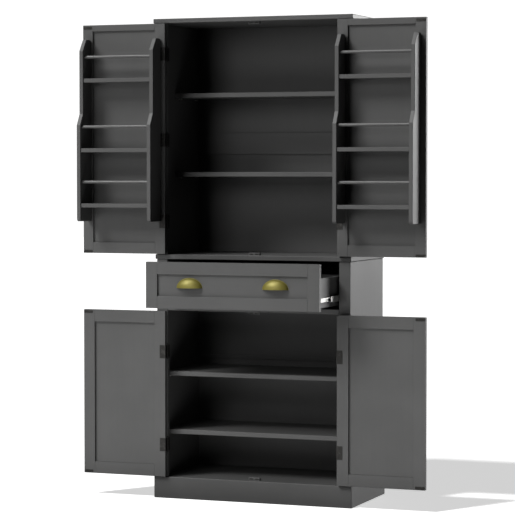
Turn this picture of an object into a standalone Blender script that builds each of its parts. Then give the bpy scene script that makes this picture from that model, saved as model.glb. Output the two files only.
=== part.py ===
"""Pantry cabinet in two stacked compartments, with door racks and one drawer.

Metres, +Z up. X runs across the cabinet, -Y is the front. The floor is Z = 0,
the front of the face frame is Y = 0 and the cabinet's centre line is X = 0.
The doors are modelled swung fully open and the drawer pulled part of the way out.
"""
import math

import bmesh
import bpy
from mathutils import Matrix

GAP = 0.0003                 # between two pieces that touch
EDGE = 0.0015                # rounding of the boards' edges

# Carcass
HEIGHT = 1.830
FRAME_HALF = 0.390           # outer half width of the carcass
OPENING_HALF = 0.346         # half of the opening between the front stiles
DEPTH = 0.395                # front of the face frame to the rear
SIDE = 0.015
STILE = 0.018                # thickness of the front stiles
BOARD = 0.018
TOP_BOARD = 0.017
TOP_HALF, TOP_FRONT = 0.400, -0.008
MIDDLE_HALF, MIDDLE_FRONT = 0.3945, -0.005
BASE_HALF, BASE_FRONT = 0.399, -0.010
BASE_TOP = 0.082
DECK_TOP = 0.738
MIDDLE_TOP = 0.934
BACK_FRONT = 0.381
BACK = 0.009
INNER_HALF = FRAME_HALF - SIDE - GAP

# Shelves: height of the upper face
UPPER_SHELVES = (1.2477, 1.5519)
LOWER_SHELVES = (0.2620, 0.4856)
UPPER_SHELF_FRONT = 0.140
LOWER_SHELF_FRONT = 0.027

# Doors
DOOR = 0.018
DOOR_GAP = 0.003
DOOR_WIDTH = 0.3415
PIN_X = OPENING_HALF - DOOR_GAP / 2
PIN_Y = -0.0035
DOOR_OUTER = 2 * PIN_Y       # outer face of an open door
DOOR_INNER = DOOR_OUTER - DOOR
INNER_RECESS = 0.008
OUTER_RECESS = 0.005
# bottom, top, stile width, bottom rail, top rail, hinge centres, knob height
UPPER_DOOR = (0.936, 1.811, 0.041, 0.042, 0.024, (1.0597, 1.3695, 1.6954), 1.160)
LOWER_DOOR = (0.084, 0.718, 0.045, 0.045, 0.046, (0.2073, 0.5630), 0.620)

# Butt hinges, one leaf wrapped round the door's edge
BARREL = 0.003
LEAF = 0.0011
LEAF_WIDTH = 0.022
LEAF_HEIGHT = 0.050

# Knobs
KNOB_FROM_EDGE = 0.025

# Door racks
RACK_BOARD = 0.015
RACK_HINGE_INSET = 0.016
RACK_FREE_INSET = 0.0195
RACK_BOTTOM, RACK_TOP = 1.060, 1.7535
RACK_TOP_FLAT = 0.043
RACK_UPPER_DEPTH, RACK_LOWER_DEPTH = 0.075, 0.100
RACK_SLOPE_1 = 1.709         # foot of the slope at the top
RACK_SLOPE_2 = (1.469, 1.426)
RACK_SHELF_TOPS = (1.604, 1.338, 1.128)
RACK_SHELF_SETBACK = 0.004
ROD_RADIUS = 0.006
ROD_ABOVE_SHELF = 0.082
ROD_SETBACK = 0.019

# Drawer
DRAWER_OUT = 0.212
DRAWER_HALF = 0.343
DRAWER_BOTTOM, DRAWER_TOP = 0.741, 0.914
DRAWER_STILE = 0.046
DRAWER_RECESS = 0.008
BOX_HALF = 0.333
BOX_WALL = 0.012
BOX_LENGTH = 0.350
BOX_BOTTOM, BOX_TOP = 0.752, 0.860
BOX_FLOOR = 0.006
PULL_X = 0.170
PULL_Z = 0.818               # flat lower edge
PULL_WIDTH, PULL_HEIGHT, PULL_DEPTH = 0.104, 0.038, 0.024
PULL_WALL = 0.002

# Three-member ball-bearing slides
SLIDE_Z = 0.780
SLIDE_SHEET = 0.0012
OUTER_MEMBER = 0.028
MIDDLE_MEMBER = 0.022
INNER_MEMBER = 0.016
SLIDE_DEPTH = 0.0075

# Magnetic catches
CATCH = (0.043, 0.015, 0.0085)
CATCH_Y = 0.0205


def clear_scene():
    for obj in list(bpy.data.objects):
        bpy.data.objects.remove(obj, do_unlink=True)


def material(name, colour, roughness, metallic):
    mat = bpy.data.materials.new(name)
    mat.use_nodes = True
    shader = mat.node_tree.nodes["Principled BSDF"]
    shader.inputs["Base Color"].default_value = (*colour, 1.0)
    shader.inputs["Roughness"].default_value = roughness
    shader.inputs["Metallic"].default_value = metallic
    mat.diffuse_color = (*colour, 1.0)
    return mat


def finish(name, bm, mat, parent=None, edge=0.0, smooth=False):
    """Turn a closed bmesh into a named object, held by its body's empty."""
    bmesh.ops.recalc_face_normals(bm, faces=bm.faces)
    mesh = bpy.data.meshes.new(name)
    bm.to_mesh(mesh)
    bm.free()
    mesh.materials.append(mat)
    if smooth:
        mesh.shade_smooth()
        mesh.set_sharp_from_angle(angle=math.radians(35))
    obj = bpy.data.objects.new(name, mesh)
    bpy.context.collection.objects.link(obj)
    if parent is not None:
        obj.parent = parent
        obj.matrix_parent_inverse.identity()
        for vertex in mesh.vertices:
            vertex.co -= parent.location
    if edge:
        bevel = obj.modifiers.new("Edges", "BEVEL")
        bevel.width = edge
        bevel.segments = 1
        bevel.limit_method = "ANGLE"
        bevel.angle_limit = math.radians(50)
    return obj


def block(low, high):
    """A bmesh box between two corners."""
    bm = bmesh.new()
    bmesh.ops.create_cube(bm, size=1.0)
    size = [high[i] - low[i] for i in range(3)]
    centre = [(high[i] + low[i]) / 2 for i in range(3)]
    bmesh.ops.scale(bm, vec=size, verts=bm.verts)
    bmesh.ops.translate(bm, vec=centre, verts=bm.verts)
    return bm


def face_towards(bm, normal):
    """The outermost face that looks along a normal."""
    bm.normal_update()
    facing = [f for f in bm.faces if f.normal.dot(normal) > 0.99]
    return max(facing, key=lambda f: sum(a * b for a, b in zip(f.calc_center_median(), normal)))


def push(bm, face, shift):
    """Move a face along a shift and close the gap behind it with new walls."""
    out = bmesh.ops.extrude_face_region(bm, geom=[face])
    moved = [v for v in out["geom"] if isinstance(v, bmesh.types.BMVert)]
    bmesh.ops.translate(bm, vec=shift, verts=moved)
    bmesh.ops.delete(bm, geom=[face], context="FACES_ONLY")


def pocket(bm, normal, wall, depth):
    """Sink a pocket into a flat face, leaving a wall of equal width round it."""
    face = face_towards(bm, normal)
    bmesh.ops.inset_region(bm, faces=[face], thickness=wall, use_even_offset=True)
    push(bm, face, [-depth * n for n in normal])


def prism(outline, axis, start, end):
    """Extrude an outline along X, Y or Z; its two numbers are the other two axes in order."""
    bm = bmesh.new()
    others = [i for i in range(3) if i != axis]
    verts = []
    for pair in outline:
        point = [0.0, 0.0, 0.0]
        point[axis] = start
        point[others[0]], point[others[1]] = pair
        verts.append(bm.verts.new(point))
    face = bm.faces.new(verts)
    out = bmesh.ops.extrude_face_region(bm, geom=[face])
    moved = [v for v in out["geom"] if isinstance(v, bmesh.types.BMVert)]
    shift = [0.0, 0.0, 0.0]
    shift[axis] = end - start
    bmesh.ops.translate(bm, vec=shift, verts=moved)
    return bm


def round_corner(before, corner, after, radius, steps=3):
    """Points of an arc that rounds the corner of an outline."""
    ax, ay = before[0] - corner[0], before[1] - corner[1]
    bx, by = after[0] - corner[0], after[1] - corner[1]
    la, lb = math.hypot(ax, ay), math.hypot(bx, by)
    ax, ay, bx, by = ax / la, ay / la, bx / lb, by / lb
    half = math.acos(max(-1.0, min(1.0, ax * bx + ay * by))) / 2
    reach = radius / math.tan(half)
    mx, my = ax + bx, ay + by
    lm = math.hypot(mx, my)
    cx = corner[0] + mx / lm * radius / math.sin(half)
    cy = corner[1] + my / lm * radius / math.sin(half)
    first = math.atan2(corner[1] + ay * reach - cy, corner[0] + ax * reach - cx)
    last = math.atan2(corner[1] + by * reach - cy, corner[0] + bx * reach - cx)
    turn = (last - first + math.pi) % (2 * math.pi) - math.pi
    angles = [first + turn * i / steps for i in range(steps + 1)]
    return [(cx + radius * math.cos(a), cy + radius * math.sin(a)) for a in angles]


def rounded(corners):
    """An outline from (x, y, radius) corners."""
    points = []
    count = len(corners)
    for i, (x, y, radius) in enumerate(corners):
        if radius:
            points += round_corner(corners[i - 1][:2], (x, y), corners[(i + 1) % count][:2], radius)
        else:
            points.append((x, y))
    return points


def holder(name, location):
    empty = bpy.data.objects.new(name, None)
    empty.location = location
    bpy.context.collection.objects.link(empty)
    return empty


def make_carcass(paint):
    finish("top_panel", block((-TOP_HALF, TOP_FRONT, HEIGHT - TOP_BOARD), (TOP_HALF, DEPTH, HEIGHT)),
           paint, edge=EDGE)
    finish("middle_panel", block((-MIDDLE_HALF, MIDDLE_FRONT, MIDDLE_TOP - BOARD),
                                 (MIDDLE_HALF, DEPTH, MIDDLE_TOP)), paint, edge=EDGE)
    base = block((-BASE_HALF, BASE_FRONT, 0.0), (BASE_HALF, DEPTH, BASE_TOP))
    pocket(base, (0, 0, -1), BOARD, BASE_TOP - BOARD)
    finish("base", base, paint, edge=EDGE)
    levels = {"lower": (BASE_TOP + GAP, MIDDLE_TOP - BOARD - GAP),
              "upper": (MIDDLE_TOP + GAP, HEIGHT - TOP_BOARD - GAP)}
    for level, (low, high) in levels.items():
        for side, sign in (("left", -1), ("right", 1)):
            outline = [(FRAME_HALF, 0.0), (OPENING_HALF, 0.0), (OPENING_HALF, STILE),
                       (FRAME_HALF - SIDE, STILE), (FRAME_HALF - SIDE, DEPTH), (FRAME_HALF, DEPTH)]
            outline = [(sign * x, y) for x, y in outline]
            finish(f"{level}_{side}_side", prism(outline, 2, low, high), paint, edge=EDGE)
        finish(f"{level}_back_panel", block((-INNER_HALF, BACK_FRONT, low), (INNER_HALF, BACK_FRONT + BACK, high)),
               paint)
    front = OPENING_HALF - GAP
    shoulder = STILE + GAP
    rear = BACK_FRONT - GAP
    deck = [(-front, 0.0), (front, 0.0), (front, shoulder), (INNER_HALF, shoulder), (INNER_HALF, rear),
            (-INNER_HALF, rear), (-INNER_HALF, shoulder), (-front, shoulder)]
    finish("drawer_deck", prism(deck, 2, DECK_TOP - BOARD, DECK_TOP), paint, edge=EDGE)


def make_shelves(paint):
    for level, tops, front in (("upper", UPPER_SHELVES, UPPER_SHELF_FRONT),
                               ("lower", LOWER_SHELVES, LOWER_SHELF_FRONT)):
        for number, top in enumerate(tops, 1):
            shelf = block((-INNER_HALF, front, top - BOARD), (INNER_HALF, BACK_FRONT - GAP, top))
            finish(f"{level}_shelf_{number}", shelf, paint, edge=EDGE)


def make_catches(plastic):
    width, depth, height = CATCH
    bottoms = {"upper_bottom": MIDDLE_TOP + GAP, "lower_bottom": BASE_TOP + GAP,
               "upper_top": HEIGHT - TOP_BOARD - GAP - height, "lower_top": DECK_TOP - BOARD - GAP - height}
    for place, low in bottoms.items():
        body = block((-width / 2, CATCH_Y, low), (width / 2, CATCH_Y + depth, low + height))
        finish(f"catch_{place}", body, plastic, edge=EDGE)


def door_panel(low, high, stile, bottom_rail, top_rail):
    """A frame-and-panel door: one solid with a sunk panel on both faces, hinge edge at X = 0."""
    bm = block((0.0, DOOR_INNER, low), (DOOR_WIDTH, DOOR_OUTER, high))
    for normal, depth in (((0, -1, 0), INNER_RECESS), ((0, 1, 0), OUTER_RECESS)):
        face = face_towards(bm, normal)
        bmesh.ops.inset_region(bm, faces=[face], thickness=stile, use_even_offset=True)
        for vertex in face.verts:
            upper = vertex.co.z > (low + high) / 2
            vertex.co.z = high - top_rail if upper else low + bottom_rail
        push(bm, face, [-depth * n for n in normal])
    return bm


def mirror_for(bm, sign, offset):
    """Shift a shape drawn from X = 0 outwards, then put it on the left or right."""
    bmesh.ops.translate(bm, vec=(offset, 0, 0), verts=bm.verts)
    if sign < 0:
        bmesh.ops.scale(bm, vec=(-1, 1, 1), verts=bm.verts)
    return bm


def hinge_outline(steps=12):
    """Barrel with a leaf that runs along the door's edge and turns onto its inner face."""
    pin = PIN_X - OPENING_HALF
    near, far = -GAP, -GAP - LEAF
    first = -math.acos((near - pin) / BARREL)
    last = 2 * math.pi - math.acos((far - pin) / BARREL)
    angles = [first + (last - first) * i / steps for i in range(steps + 1)]
    barrel = [(pin + BARREL * math.cos(a), PIN_Y + BARREL * math.sin(a)) for a in angles]
    seat = DOOR_INNER - GAP
    return barrel + [(far, seat - LEAF), (LEAF_WIDTH, seat - LEAF), (LEAF_WIDTH, seat), (near, seat)]


def turned(profile, steps=20):
    """Spin a profile of (radius, length) pairs into a solid; the first and last radii are zero."""
    bm = bmesh.new()
    verts = [bm.verts.new((radius, 0.0, length)) for radius, length in profile]
    edges = [bm.edges.new(pair) for pair in zip(verts, verts[1:])]
    bmesh.ops.spin(bm, geom=verts + edges, cent=(0, 0, 0), axis=(0, 0, 1), angle=2 * math.pi,
                   steps=steps, use_merge=True)
    bmesh.ops.remove_doubles(bm, verts=bm.verts, dist=0.00001)
    return bm


def make_knob(name, sign, z, brass, parent):
    """A round knob on the door's outer face, which looks to the rear while the door is open."""
    profile = [(0.0, 0.0), (0.0085, 0.0), (0.0085, 0.003), (0.0055, 0.006), (0.0055, 0.012), (0.0105, 0.016),
               (0.0140, 0.0205), (0.0125, 0.0245), (0.0070, 0.0265), (0.0, 0.0270)]
    bm = turned(profile)
    bmesh.ops.rotate(bm, verts=bm.verts, cent=(0, 0, 0), matrix=Matrix.Rotation(-math.pi / 2, 3, "X"))
    x = sign * (OPENING_HALF + DOOR_WIDTH - KNOB_FROM_EDGE)
    bmesh.ops.translate(bm, vec=(x, DOOR_OUTER + GAP, z), verts=bm.verts)
    finish(name, bm, brass, parent, smooth=True)


def make_doors(paint, steel, brass, holders):
    for level, spec in (("upper", UPPER_DOOR), ("lower", LOWER_DOOR)):
        low, high, stile, bottom_rail, top_rail, hinges, knob_z = spec
        for side, sign in (("left", -1), ("right", 1)):
            body = holders[f"{level}_{side}_door"]
            door = mirror_for(door_panel(low, high, stile, bottom_rail, top_rail), sign, OPENING_HALF)
            finish(f"{level}_{side}_door", door, paint, body, edge=0.001)
            for number, z in enumerate(hinges, 1):
                hinge = prism(hinge_outline(), 2, z - LEAF_HEIGHT / 2, z + LEAF_HEIGHT / 2)
                mirror_for(hinge, sign, OPENING_HALF)
                finish(f"{level}_{side}_hinge_{number}", hinge, steel, body)
            make_knob(f"{level}_{side}_knob", sign, knob_z, brass, body)


def rack_outline(notches):
    """Stepped side board of a door rack, as (Y, Z); notches clear the hinge leaves on its door edge."""
    back = DOOR_INNER - GAP
    relief = back - LEAF - 2 * GAP
    top, upper, lower = (back - d for d in (RACK_TOP_FLAT, RACK_UPPER_DEPTH, RACK_LOWER_DEPTH))
    corners = [(lower, RACK_BOTTOM, 0.010), (lower, RACK_SLOPE_2[1], 0.004), (upper, RACK_SLOPE_2[0], 0.004),
               (upper, RACK_SLOPE_1, 0.004), (top, RACK_TOP, 0.006), (back, RACK_TOP, 0.008)]
    for z in sorted(notches, reverse=True):
        above, below = z + LEAF_HEIGHT / 2 + 0.002, z - LEAF_HEIGHT / 2 - 0.002
        corners += [(back, above, 0), (relief, above, 0), (relief, below, 0), (back, below, 0)]
    if notches and min(notches) - LEAF_HEIGHT / 2 - 0.002 < RACK_BOTTOM:
        corners = corners[:-1]
        corners[-1] = (relief, RACK_BOTTOM, 0)
    else:
        corners.append((back, RACK_BOTTOM, 0))
    return rounded(corners)


def make_racks(paint, holders):
    inner = OPENING_HALF + RACK_HINGE_INSET
    outer = OPENING_HALF + DOOR_WIDTH - RACK_FREE_INSET
    between = (inner + RACK_BOARD + GAP, outer - RACK_BOARD - GAP)
    back = DOOR_INNER - GAP
    depths = [RACK_UPPER_DEPTH, RACK_LOWER_DEPTH, RACK_LOWER_DEPTH]
    for side, sign in (("left", -1), ("right", 1)):
        body = holders[f"upper_{side}_door"]
        boards = {"hinge_side": (inner, inner + RACK_BOARD, UPPER_DOOR[5]),
                  "free_side": (outer - RACK_BOARD, outer, ())}
        for place, (near, far, notches) in boards.items():
            board = prism(rack_outline(notches), 0, near, far)
            finish(f"{side}_rack_{place}", mirror_for(board, sign, 0.0), paint, body, edge=0.001)
        for number, (top, depth) in enumerate(zip(RACK_SHELF_TOPS, depths), 1):
            shelf = block((between[0], back - depth + RACK_SHELF_SETBACK, top - RACK_BOARD),
                          (between[1], back, top))
            finish(f"{side}_rack_shelf_{number}", mirror_for(shelf, sign, 0.0), paint, body, edge=0.001)
            rod = bmesh.new()
            bmesh.ops.create_cone(rod, cap_ends=True, segments=16, radius1=ROD_RADIUS, radius2=ROD_RADIUS,
                                  depth=between[1] - between[0])
            bmesh.ops.rotate(rod, verts=rod.verts, cent=(0, 0, 0), matrix=Matrix.Rotation(math.pi / 2, 3, "Y"))
            centre = (sum(between) / 2, back - depth + ROD_SETBACK, top + ROD_ABOVE_SHELF)
            bmesh.ops.translate(rod, vec=centre, verts=rod.verts)
            finish(f"{side}_rack_rod_{number}", mirror_for(rod, sign, 0.0), paint, body, smooth=True)


def make_drawer(paint, brass, body):
    face = -DRAWER_OUT
    front = block((-DRAWER_HALF, face, DRAWER_BOTTOM), (DRAWER_HALF, face + BOARD, DRAWER_TOP))
    pocket(front, (0, -1, 0), DRAWER_STILE, DRAWER_RECESS)
    finish("drawer_front", front, paint, body, edge=0.001)

    start = face + BOARD + GAP
    box = block((-BOX_HALF, start, BOX_BOTTOM), (BOX_HALF, start + BOX_LENGTH, BOX_TOP))
    pocket(box, (0, 0, 1), BOX_WALL, BOX_TOP - BOX_BOTTOM - 2 * BOX_FLOOR)
    pocket(box, (0, 0, -1), BOX_WALL, BOX_FLOOR)
    for sign in (-1, 1):
        side = face_towards(box, (sign, 0, 0))
        bmesh.ops.inset_region(box, faces=[side], thickness=0.001)
        for vertex in side.verts:
            upper = vertex.co.z > (BOX_BOTTOM + BOX_TOP) / 2
            vertex.co.z = SLIDE_Z + (INNER_MEMBER if upper else -INNER_MEMBER) / 2
        push(box, side, (sign * SLIDE_DEPTH, 0, 0))
    finish("drawer_box", box, paint, body)

    for side, sign in (("left", -1), ("right", 1)):
        finish(f"{side}_cup_pull", cup_pull(sign * PULL_X, face + DRAWER_RECESS - GAP), brass, body, smooth=True)


def cup_pull(x, y, across=16, rings=6):
    """A half dome, hollow and open underneath, with its flat edge down and its mouth on the drawer."""
    bm = bmesh.new()

    def shell(half_width, height, depth, low):
        rows = []
        for i in range(rings + 1):
            tilt = math.pi / 2 * i / rings
            row = []
            for j in range(across + 1):
                turn = math.pi * j / across
                reach = math.cos(tilt)
                row.append(bm.verts.new((x + half_width * reach * math.cos(turn), y - depth * math.sin(tilt),
                                         low + height * reach * math.sin(turn))))
            rows.append(row)
        return rows

    outer = shell(PULL_WIDTH / 2, PULL_HEIGHT, PULL_DEPTH, PULL_Z)
    inner = shell(PULL_WIDTH / 2 - PULL_WALL, PULL_HEIGHT - PULL_WALL, PULL_DEPTH - PULL_WALL, PULL_Z)
    for rows in (outer, inner):
        for upper, lower in zip(rows, rows[1:]):
            for j in range(across):
                bm.faces.new((upper[j], upper[j + 1], lower[j + 1], lower[j]))
    for j in range(across):
        bm.faces.new((outer[0][j], inner[0][j], inner[0][j + 1], outer[0][j + 1]))
    for end in (0, across):
        for i in range(rings):
            bm.faces.new((outer[i][end], outer[i + 1][end], inner[i + 1][end], inner[i][end]))
    bmesh.ops.remove_doubles(bm, verts=bm.verts, dist=0.00001)
    return bm


def make_slides(steel, middle_body):
    """Outer members on spacer battens, and the middle members that travel half as far as the drawer."""
    wall = OPENING_HALF
    half = OUTER_MEMBER / 2
    lip = wall - SLIDE_DEPTH
    batten = 0.020
    rail = [(INNER_HALF, -batten), (INNER_HALF, batten), (wall, batten), (wall, half), (lip, half),
            (lip, half - SLIDE_SHEET), (wall - SLIDE_SHEET, half - SLIDE_SHEET),
            (wall - SLIDE_SHEET, SLIDE_SHEET - half), (lip, SLIDE_SHEET - half), (lip, -half),
            (wall, -half), (wall, -batten)]
    web = wall - SLIDE_SHEET - 0.0006
    reach = MIDDLE_MEMBER / 2
    tip = web - SLIDE_DEPTH
    member = [(web, -reach), (web, reach), (tip, reach), (tip, reach - SLIDE_SHEET),
              (web - SLIDE_SHEET, reach - SLIDE_SHEET), (web - SLIDE_SHEET, SLIDE_SHEET - reach),
              (tip, SLIDE_SHEET - reach), (tip, -reach)]
    start = STILE + EDGE + GAP
    for side, sign in (("left", -1), ("right", 1)):
        outline = [(sign * x, SLIDE_Z + z) for x, z in rail]
        finish(f"{side}_slide_rail", prism(outline, 1, start, start + BOX_LENGTH), steel)
        outline = [(sign * x, SLIDE_Z + z) for x, z in member]
        near = start - DRAWER_OUT / 2
        finish(f"{side}_slide_middle", prism(outline, 1, near, near + BOX_LENGTH), steel, middle_body)


def main():
    clear_scene()
    paint = material("charcoal_paint", (0.115, 0.115, 0.112), 0.45, 0.0)
    steel = material("zinc_steel", (0.62, 0.62, 0.60), 0.35, 1.0)
    dark_steel = material("hinge_steel", (0.09, 0.09, 0.09), 0.40, 0.9)
    brass = material("antique_brass", (0.62, 0.49, 0.22), 0.35, 1.0)
    plastic = material("catch_plastic", (0.12, 0.12, 0.12), 0.5, 0.0)

    holders = {}
    for level in ("upper", "lower"):
        for side, sign in (("left", -1), ("right", 1)):
            holders[f"{level}_{side}_door"] = holder(f"{level}_{side}_hinge_axis", (sign * PIN_X, PIN_Y, 0.0))
    drawer = holder("drawer_axis", (0.0, -DRAWER_OUT, SLIDE_Z))
    middle = holder("slide_axis", (0.0, -DRAWER_OUT / 2, SLIDE_Z))

    make_carcass(paint)
    make_shelves(paint)
    make_catches(plastic)
    make_doors(paint, dark_steel, brass, holders)
    make_racks(paint, holders)
    make_drawer(paint, brass, drawer)
    make_slides(steel, middle)


main()
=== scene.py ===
"""Pantry cabinet: detailed pieces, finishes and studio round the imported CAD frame.

Metres, +Z up, -Y is the front. Doors are swung open and the drawer is part of the way out.
"""

import math

import bmesh
import bpy
from bpy.props import FloatProperty, FloatVectorProperty, PointerProperty
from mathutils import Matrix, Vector


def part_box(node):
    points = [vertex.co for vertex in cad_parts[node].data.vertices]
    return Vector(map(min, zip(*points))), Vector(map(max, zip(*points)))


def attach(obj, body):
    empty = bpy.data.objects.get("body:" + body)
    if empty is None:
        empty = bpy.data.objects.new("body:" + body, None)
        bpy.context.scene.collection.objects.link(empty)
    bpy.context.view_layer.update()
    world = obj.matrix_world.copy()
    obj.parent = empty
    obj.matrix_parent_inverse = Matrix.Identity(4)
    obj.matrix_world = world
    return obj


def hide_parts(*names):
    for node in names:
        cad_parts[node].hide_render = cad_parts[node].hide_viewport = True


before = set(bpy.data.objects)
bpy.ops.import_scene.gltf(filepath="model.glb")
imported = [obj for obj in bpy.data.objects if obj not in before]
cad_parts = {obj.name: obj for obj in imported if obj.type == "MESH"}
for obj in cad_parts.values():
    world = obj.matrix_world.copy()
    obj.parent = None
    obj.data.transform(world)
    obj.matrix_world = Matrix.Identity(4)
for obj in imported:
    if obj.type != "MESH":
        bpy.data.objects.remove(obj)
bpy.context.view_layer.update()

bl_info = {
    "name": "Pantry Cabinet",
    "version": (1, 0, 0),
    "blender": (4, 2, 0),
    "location": "View3D > Sidebar > Pantry",
    "description": "Adds the doors, drawer, fittings and finishes of a pantry cabinet",
    "category": "Add Mesh",
}

X, Y, Z = Vector((1, 0, 0)), Vector((0, 1, 0)), Vector((0, 0, 1))
SIDES = {"left": -1, "right": 1}
HINGES = {"upper": 3, "lower": 2}       # on each door of the two levels
DOORS = [(level, side) for level in HINGES for side in SIDES]


# ---------------------------------------------------------------- settings

class PantryFinishes(bpy.types.PropertyGroup):
    """Colours of the cabinet's finishes."""
    paint: FloatVectorProperty(
        name="Paint", description="Charcoal paint of the boards and doors",
        subtype="COLOR", size=4, min=0, max=1, default=(0.084, 0.084, 0.083, 1))
    paint_pale: FloatVectorProperty(
        name="Pale Paint", description="Paint where it lies thin or is rubbed",
        subtype="COLOR", size=4, min=0, max=1, default=(0.096, 0.096, 0.095, 1))
    zinc: FloatVectorProperty(
        name="Zinc", description="Plated steel of the drawer slides",
        subtype="COLOR", size=4, min=0, max=1, default=(0.21, 0.205, 0.19, 1))
    dark_steel: FloatVectorProperty(
        name="Dark Steel", description="Blackened steel of the hinges and strike plates",
        subtype="COLOR", size=4, min=0, max=1, default=(0.042, 0.041, 0.039, 1))
    brass: FloatVectorProperty(
        name="Brass", description="Clean brass of the pulls and knobs",
        subtype="COLOR", size=4, min=0, max=1, default=(0.232, 0.203, 0.042, 1))
    patina: FloatVectorProperty(
        name="Patina", description="Brown film on the brass",
        subtype="COLOR", size=4, min=0, max=1, default=(0.18, 0.15, 0.034, 1))
    plastic: FloatVectorProperty(
        name="Plastic", description="Housings of the magnetic catches and slide bumpers",
        subtype="COLOR", size=4, min=0, max=1, default=(0.035, 0.034, 0.033, 1))


class PantrySizes(bpy.types.PropertyGroup):
    """Sizes of the cabinet's joinery and fittings."""
    joint: FloatProperty(
        name="Joint", description="Rounding of the door and drawer boards, which draws a line at each joint",
        unit="LENGTH", min=0.0001, max=0.002, default=0.0008)
    groove: FloatProperty(
        name="Groove", description="Depth of the groove that holds a door's panel",
        unit="LENGTH", min=0.002, max=0.012, default=0.006)
    leaf: FloatProperty(
        name="Leaf", description="Thickness of the hinge leaves",
        unit="LENGTH", min=0.0005, max=0.0012, default=0.0011)
    pin: FloatProperty(
        name="Pin", description="Outer radius of the hinge knuckles",
        unit="LENGTH", min=0.002, max=0.003, default=0.0030)
    screw: FloatProperty(
        name="Screw", description="Radius of the countersunk screw heads",
        unit="LENGTH", min=0.001, max=0.005, default=0.0026)
    pull_wall: FloatProperty(
        name="Pull Wall", description="Wall thickness of the cup pulls",
        unit="LENGTH", min=0.001, max=0.003, default=0.0018)
    sheet: FloatProperty(
        name="Sheet", description="Steel thickness of the slide members",
        unit="LENGTH", min=0.0008, max=0.0014, default=0.0012)


class PantryStage(bpy.types.PropertyGroup):
    """Camera and lamps of the studio."""
    camera: FloatVectorProperty(
        name="Camera", description="Place of the camera",
        subtype="TRANSLATION", unit="LENGTH", size=3, default=(3.000288, -7.760446, 1.253251))
    tilt: FloatProperty(
        name="Tilt", description="Camera's turn up from straight down",
        subtype="ANGLE", default=math.radians(87.752))
    heading: FloatProperty(
        name="Heading", description="Camera's turn about the vertical",
        subtype="ANGLE", default=math.radians(20.996))
    lens: FloatProperty(
        name="Lens", description="Focal length in millimetres on a 36 mm sensor", default=154.706)
    key: FloatProperty(
        name="Key", description="Strength of the wide lamp in front, on the left", min=0, default=1.88)
    floor_key: FloatProperty(
        name="Floor Key", description="Strength of the lamp that draws the floor's shadows",
        min=0, default=3.0)
    rim: FloatProperty(
        name="Rim", description="Strength of the lamp behind, on the right", min=0, default=2.1)
    card: FloatProperty(
        name="Card", description="Power of the bright card on the floor in front, on the left",
        subtype="POWER", default=99)
    strip: FloatProperty(
        name="Strip", description="Power of the bright strip on the floor along the front",
        subtype="POWER", default=13)
    top: FloatProperty(
        name="Top", description="Strength of the wide lamp high on the left", min=0, default=1.1)
    high: FloatProperty(
        name="High Fill", description="Power of the high fill lamp in front",
        subtype="POWER", default=35)
    fill: FloatProperty(
        name="Fill", description="Brightness of the sky round the object", min=0, default=0.006)
    glow: FloatProperty(
        name="Floor Glow", description="Brightness of the floor where it lies in shadow", min=0, default=0.63)


# ---------------------------------------------------------------- modelling by hand

def deselect():
    bpy.ops.object.select_all(action="DESELECT")


def take(obj):
    """Select one object alone."""
    deselect()
    obj.select_set(True)
    bpy.context.view_layer.objects.active = obj


def settle(obj):
    """Move an object's place, turn and scale into its mesh."""
    take(obj)
    bpy.ops.object.transform_apply(location=True, rotation=True, scale=True)
    return obj


def block(name, low, high):
    """A new box between two corners, left selected in object mode."""
    low, high = Vector(low), Vector(high)
    deselect()
    bpy.ops.mesh.primitive_cube_add(size=1, location=(low + high) / 2, scale=high - low)
    obj = bpy.context.object
    obj.name = obj.data.name = name
    return settle(obj)


def disc(name, centre, radius, axis, vertices):
    """A new flat disc that looks along an axis."""
    deselect()
    turn = Vector(axis).to_track_quat("Z", "Y").to_euler()
    bpy.ops.mesh.primitive_circle_add(vertices=vertices, radius=radius, fill_type="NGON",
                                      location=centre, rotation=turn)
    obj = bpy.context.object
    obj.name = obj.data.name = name
    return settle(obj)


def choose(obj, kind, test):
    """In edit mode, select the faces or edges whose (centre, normal or direction) pass a test."""
    bpy.ops.mesh.select_mode(type=kind)
    bpy.ops.mesh.select_all(action="DESELECT")
    bm = bmesh.from_edit_mesh(obj.data)
    found = 0
    if kind == "FACE":
        for face in bm.faces:
            if test(face.calc_center_median(), face.normal):
                face.select_set(True)
                found += 1
    else:
        for edge in bm.edges:
            start, end = (v.co for v in edge.verts)
            if test((start + end) / 2, (end - start).normalized()):
                edge.select_set(True)
                found += 1
    bmesh.update_edit_mesh(obj.data)
    if not found:
        raise RuntimeError(f"nothing to select on {obj.name}")
    return found


def cut(co, no):
    """Add an edge loop where a plane crosses the whole mesh."""
    bpy.ops.mesh.select_all(action="SELECT")
    bpy.ops.mesh.bisect(plane_co=co, plane_no=no)


def draw_out(shift):
    """Extrude the selection along a shift."""
    bpy.ops.mesh.extrude_region_move(TRANSFORM_OT_translate={"value": shift})


def widen(scale, centre):
    bpy.ops.transform.resize(value=scale, center_override=centre)


def shaped(obj, *steps):
    """Run modelling steps on an object in edit mode."""
    take(obj)
    bpy.ops.object.mode_set(mode="EDIT")
    for step in steps:
        step()
    bpy.ops.object.mode_set(mode="OBJECT")
    return obj


def outward(obj):
    """Turn all faces of a closed mesh outwards."""
    def turn():
        bpy.ops.mesh.select_all(action="SELECT")
        bpy.ops.mesh.remove_doubles(threshold=0.000005)
        bpy.ops.mesh.normals_make_consistent(inside=False)
    return shaped(obj, turn)


def modified(obj, kind, **settings):
    """Add a modifier, set it and apply it."""
    take(obj)
    bpy.ops.object.modifier_add(type=kind)
    modifier = obj.modifiers[-1]
    for name, value in settings.items():
        setattr(modifier, name, value)
    bpy.ops.object.modifier_apply(modifier=modifier.name)
    return obj


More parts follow.
